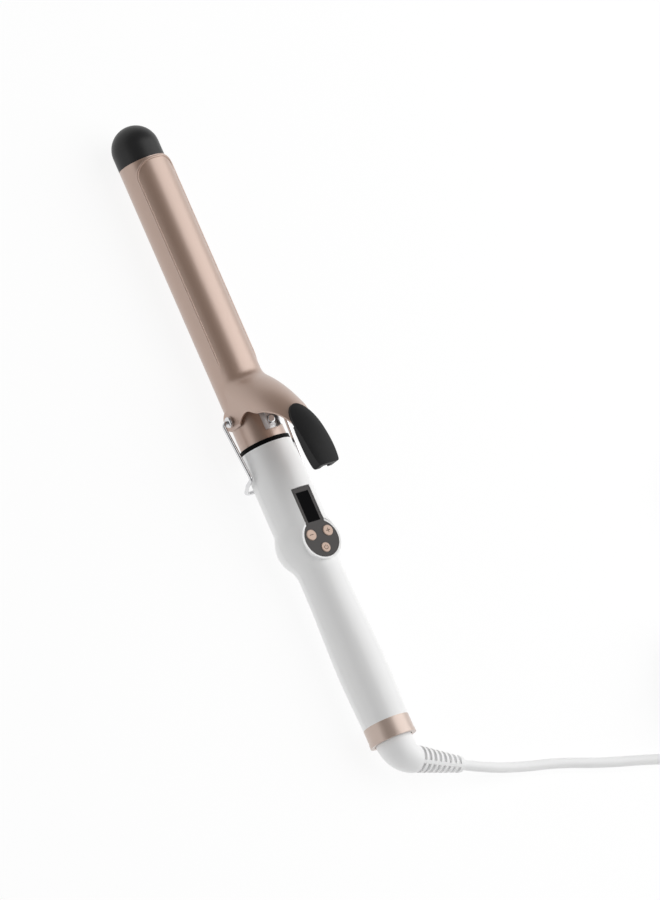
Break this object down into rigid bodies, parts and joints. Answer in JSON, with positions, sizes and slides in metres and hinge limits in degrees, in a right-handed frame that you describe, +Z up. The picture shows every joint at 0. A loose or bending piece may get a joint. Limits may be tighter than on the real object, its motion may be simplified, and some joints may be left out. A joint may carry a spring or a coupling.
{
  "type": "curling iron",
  "caption": "Hair curling iron with a heated barrel, spring clamp and thumb lever, folding wire stand, ball-knuckled handle with display panel, and a swivelling cord.",
  "frame": {"origin": "under the middle of the iron's length, on the surface it lies on", "axes": "+X from the cool tip along the barrel axis to the cord end, +Z up through the lever and the control panel, +Y across, towards the side the cord leaves by"},
  "size_m": [0.4162, 0.2957, 0.0644],
  "materials": {
    "barrel": "satin rose-gold ceramic coating",
    "black": "satin black heat-proof plastic",
    "pad": "fine-grained satin black plastic",
    "bright": "bright nickel plate",
    "steel": "plain spring steel",
    "white": "satin pearl white plastic",
    "panel": "satin dark grey plastic",
    "window": "gloss black display cover",
    "button": "satin pale rose-gold",
    "ring": "satin rose-gold",
    "cord": "smooth white flexible plastic",
    "tie": "soft white strap",
    "pin": "nickel-plated brass",
    "spreader": "extruded aluminium",
    "ceramic": "ceramic heater plate",
    "sensor": "glass-sealed sensor and fuse",
    "wire": "silicone insulation",
    "board": "green circuit board",
    "component": "moulded electronic parts",
    "socket": "grey bearing plastic",
    "contact": "plain brass"
  },
  "bodies": {
    "handle": {"barrel_tube": "barrel", "cool_tip": "black", "barrel_holder": "black", "pivot_studs": "bright", "spring_screw": "bright", "spring_bracket": "steel", "clip_spring": "steel", "pivot_bar": "steel", "casing_screws": "steel", "handle_top_shell": "white", "handle_bottom_shell": "white", "control_panel": "panel", "lcd_window": "window", "end_ring": "ring", "heat_spreader_upper": "spreader", "heat_spreader_lower": "spreader", "ptc_heater": "ceramic", "thermistor": "sensor", "thermal_fuse": "sensor", "heater_leads": "wire", "supply_leads": "wire", "control_board": "board", "power_board": "board", "lcd_module": "component", "tact_switches": "component", "power_components": "component", "swivel_socket": "socket", "swivel_contacts": "contact"},
    "clamp": {"clamp_shell": "barrel", "lever_pad": "pad"},
    "stand": {"stand_wire": "bright"},
    "swivel": {"cord_elbow": "cord", "swivel_spigot": "socket", "slip_rings": "contact", "retaining_clip": "steel", "cord_lead": "cord", "cord_coil": "cord", "cord_tail": "cord", "cord_tie": "tie", "plug_body": "cord", "plug_pins": "pin"},
    "minus_button": {"minus_button": "button"},
    "plus_button": {"plus_button": "button"},
    "power_button": {"power_button": "button"}
  },
  "joints": [
    {"name": "clamp_hinge", "type": "hinge", "parent": "handle", "child": "clamp", "pos_m": [-0.0096, 0, 0.0171], "axis": [0, 1, 0], "range_deg": [0, 24], "stiffness_Nm_per_rad": 0.6, "springref_deg": -17.19, "deforming": ["clip_spring"]},
    {"name": "stand_hinge", "type": "hinge", "parent": "handle", "child": "stand", "pos_m": [-0.0096, 0, 0.0171], "axis": [0, 1, 0], "range_deg": [0, 90]},
    {"name": "cord_swivel", "type": "hinge", "parent": "handle", "child": "swivel", "pos_m": [0.1751, 0, 0.0171], "axis": [1, 0, 0], "continuous": true},
    {"name": "minus_button_press", "type": "slide", "parent": "handle", "child": "minus_button", "axis": [0, 0, 1], "range_m": [-0.0005, 0], "stiffness_N_per_m": 500, "springref_m": 0.0004},
    {"name": "plus_button_press", "type": "slide", "parent": "handle", "child": "plus_button", "axis": [0, 0, 1], "range_m": [-0.0005, 0], "stiffness_N_per_m": 500, "springref_m": 0.0004},
    {"name": "power_button_press", "type": "slide", "parent": "handle", "child": "power_button", "axis": [0, 0, 1], "range_m": [-0.0005, 0], "stiffness_N_per_m": 500, "springref_m": 0.0004}
  ]
}
